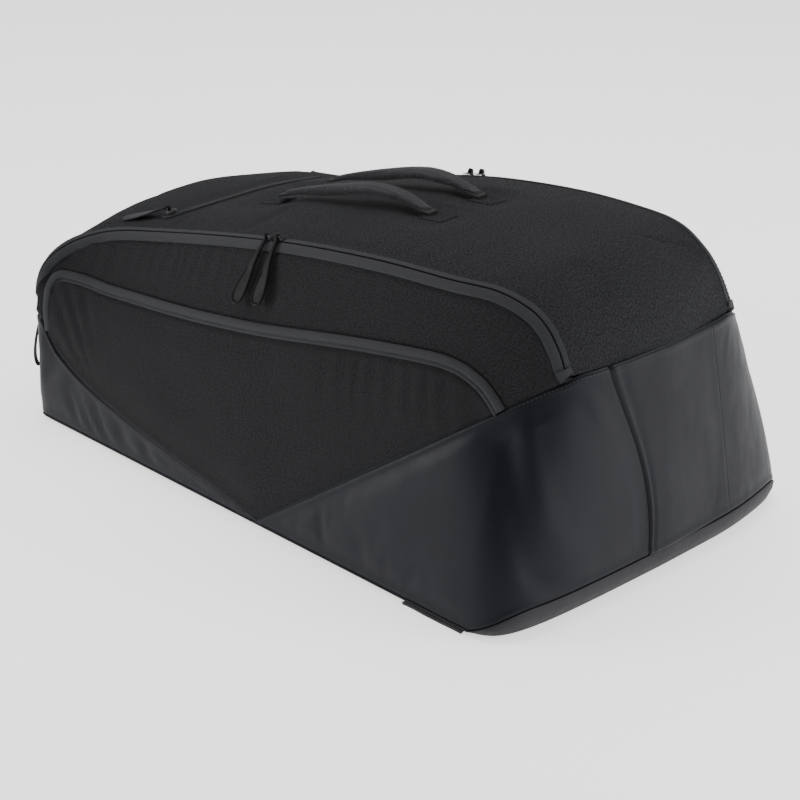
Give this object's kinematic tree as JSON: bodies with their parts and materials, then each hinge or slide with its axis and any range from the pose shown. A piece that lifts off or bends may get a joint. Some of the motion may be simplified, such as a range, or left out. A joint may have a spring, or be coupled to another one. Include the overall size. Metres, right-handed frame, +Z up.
{
  "type": "racket tournament bag",
  "caption": "Large soft racket bag lying on its back: two zipped side compartments, front pocket, twin carry handles and stowed shoulder straps.",
  "frame": {"origin": "on the ground under the middle of the whole bag, on its centre plane", "axes": "+X to the wide racket-head end, -Y to the front with the pocket, +Z up to the carry handles"},
  "size_m": [0.8037, 0.486, 0.353],
  "materials": {
    "woven_fabric": "matt woven polyester",
    "smooth_coated": "satin coated fabric",
    "zip_tape": "matt tape",
    "binding": "satin",
    "slider_metal": "gloss black",
    "pull_rubber": "gloss",
    "base_fabric": "coated",
    "board": "matt",
    "lining": "matt",
    "webbing": "ribbed",
    "moulded_plastic": "satin",
    "strap_mesh": "mesh"
  },
  "bodies": {
    "bag": {"base_board": "board", "base_panel": "base_fabric", "centre_divider": "lining", "front_strap_tab": "webbing", "front_strap_webbing": "webbing", "front_zip_end_tab": "binding", "front_zip_upper_tape": "zip_tape", "handle_anchor_patches": "webbing", "left_end_wall": "smooth_coated", "rear_strap_tab": "webbing", "rear_strap_webbing": "webbing", "rear_zip_end_tab": "binding", "rear_zip_upper_tape": "zip_tape", "right_end_gusset": "smooth_coated", "right_front_corner": "smooth_coated", "right_rear_corner": "smooth_coated", "top_panel": "woven_fabric", "top_pocket_zip": "zip_tape"},
    "front_opening_side": {"front_side_panel": "woven_fabric", "front_zip_lower_tape": "zip_tape", "front_pocket_panel": "woven_fabric", "front_pocket_zip": "zip_tape"},
    "rear_opening_side": {"rear_side_panel": "woven_fabric", "rear_zip_lower_tape": "zip_tape"},
    "front_left_slider": {"front_left_slider": "slider_metal"},
    "front_left_pull": {"front_left_pull": "pull_rubber"},
    "front_right_slider": {"front_right_slider": "slider_metal"},
    "front_right_pull": {"front_right_pull": "pull_rubber"},
    "front_handle": {"front_handle": "webbing", "front_handle_grip": "binding"},
    "front_shoulder_strap": {"front_shoulder_strap": "strap_mesh", "front_ladder_lock": "moulded_plastic"},
    "rear_left_slider": {"rear_left_slider": "slider_metal"},
    "rear_left_pull": {"rear_left_pull": "pull_rubber"},
    "rear_right_slider": {"rear_right_slider": "slider_metal"},
    "rear_right_pull": {"rear_right_pull": "pull_rubber"},
    "rear_handle": {"rear_handle": "webbing", "rear_handle_grip": "binding"},
    "rear_shoulder_strap": {"rear_shoulder_strap": "strap_mesh", "rear_ladder_lock": "moulded_plastic"},
    "front_pocket_slider": {"front_pocket_slider": "slider_metal"},
    "front_pocket_pull": {"front_pocket_pull": "pull_rubber"},
    "top_pocket_slider": {"top_pocket_slider": "slider_metal"},
    "top_pocket_pull": {"top_pocket_pull": "binding"}
  },
  "joints": [
    {"name": "front_side_opens", "type": "hinge", "parent": "bag", "child": "front_opening_side", "pos_m": [0.0062, -0.2405, 0.0093], "axis": [1, 0, 0], "range_deg": [0, 22]},
    {"name": "rear_side_opens", "type": "hinge", "parent": "bag", "child": "rear_opening_side", "pos_m": [0.0062, 0.2405, 0.0093], "axis": [-1, 0, 0], "range_deg": [0, 22]},
    {"name": "front_left_slider_runs", "type": "slide", "parent": "front_opening_side", "child": "front_left_slider", "axis": [0.9809, 0, 0.1945], "range_m": [-0.1, 0]},
    {"name": "front_left_pull_lifts", "type": "hinge", "parent": "front_left_slider", "child": "front_left_pull", "pos_m": [-0.04474, -0.15748, 0.29882], "axis": [-0.9809, 0, -0.1945], "range_deg": [0, 100]},
    {"name": "front_right_slider_runs", "type": "slide", "parent": "front_opening_side", "child": "front_right_slider", "axis": [0.9809, 0, 0.1945], "range_m": [0, 0.06]},
    {"name": "front_right_pull_lifts", "type": "hinge", "parent": "front_right_slider", "child": "front_right_pull", "pos_m": [-0.02674, -0.15748, 0.30239], "axis": [-0.9809, 0, -0.1945], "range_deg": [0, 100]},
    {"name": "rear_left_slider_runs", "type": "slide", "parent": "rear_opening_side", "child": "rear_left_slider", "axis": [0.9809, 0, 0.1945], "range_m": [-0.1, 0]},
    {"name": "rear_left_pull_lifts", "type": "hinge", "parent": "rear_left_slider", "child": "rear_left_pull", "pos_m": [-0.04474, 0.15748, 0.29882], "axis": [0.9809, 0, 0.1945], "range_deg": [0, 100]},
    {"name": "rear_right_slider_runs", "type": "slide", "parent": "rear_opening_side", "child": "rear_right_slider", "axis": [0.9809, 0, 0.1945], "range_m": [0, 0.06]},
    {"name": "rear_right_pull_lifts", "type": "hinge", "parent": "rear_right_slider", "child": "rear_right_pull", "pos_m": [-0.02674, 0.15748, 0.30239], "axis": [0.9809, 0, 0.1945], "range_deg": [0, 100]},
    {"name": "front_pocket_slider_runs", "type": "slide", "parent": "bag", "child": "front_pocket_slider", "axis": [0, 0, 1], "range_m": [-0.012, 0]},
    {"name": "front_pocket_pull_lifts", "type": "hinge", "parent": "front_pocket_slider", "child": "front_pocket_pull", "pos_m": [-0.39193, -0.21924, 0.1205], "axis": [-0.5524, 0.8336, 0], "range_deg": [0, 100]},
    {"name": "top_pocket_slider_runs", "type": "slide", "parent": "bag", "child": "top_pocket_slider", "axis": [0.3304, 0.921, 0.2062], "range_m": [0, 0.04]},
    {"name": "top_pocket_pull_lifts", "type": "hinge", "parent": "top_pocket_slider", "child": "top_pocket_pull", "pos_m": [-0.27502, -0.11175, 0.26037], "axis": [-0.5369, 0.8436, 0.0108], "range_deg": [0, 150]},
    {"name": "front_handle_swings", "type": "hinge", "parent": "bag", "child": "front_handle", "pos_m": [-0.1588, -0.038, 0.29], "axis": [0.9851, 0, 0.172], "range_deg": [-30, 30]},
    {"name": "front_shoulder_strap_swings", "type": "hinge", "parent": "bag", "child": "front_shoulder_strap", "pos_m": [-0.2458, -0.062, 0.003], "axis": [0, 1, 0], "range_deg": [0, 45]},
    {"name": "rear_handle_swings", "type": "hinge", "parent": "bag", "child": "rear_handle", "pos_m": [-0.1588, 0.038, 0.29], "axis": [0.9851, 0, 0.172], "range_deg": [-30, 30]},
    {"name": "rear_shoulder_strap_swings", "type": "hinge", "parent": "bag", "child": "rear_shoulder_strap", "pos_m": [-0.2458, 0.062, 0.003], "axis": [0, 1, 0], "range_deg": [0, 45]}
  ]
}
